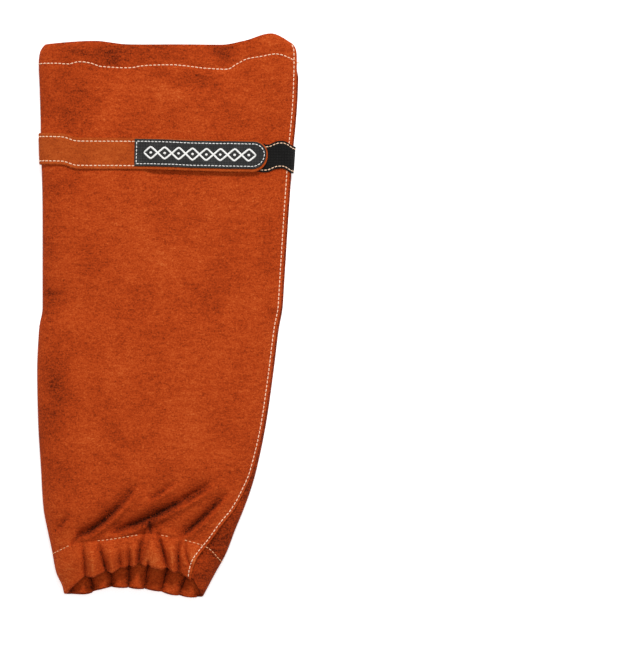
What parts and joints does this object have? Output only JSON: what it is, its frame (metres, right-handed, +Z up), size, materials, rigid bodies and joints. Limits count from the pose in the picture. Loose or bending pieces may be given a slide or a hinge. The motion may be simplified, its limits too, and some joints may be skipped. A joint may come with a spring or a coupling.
{
  "type": "leather welding sleeve",
  "caption": "Tapering suede leather arm guard with a gathered elastic cuff, a hemmed upper arm opening and a hook-and-loop strap.",
  "frame": {"origin": "the middle of the sleeve's length and width, on the surface it lies on", "axes": "+Y from the wrist to the bicep end, +X across towards the seam, +Z up from the surface, on the strap's side"},
  "size_m": [0.247, 0.5348, 0.034],
  "materials": {
    "suede": "rough suede",
    "strap_leather": "fine suede",
    "patch": "woven, matt",
    "tape": "woven nylon"
  },
  "bodies": {
    "root": {"sleeve_panel": "suede", "strap": "strap_leather", "label_patch": "patch", "hook_tape": "tape", "loop_tape": "tape"}
  },
  "joints": []
}
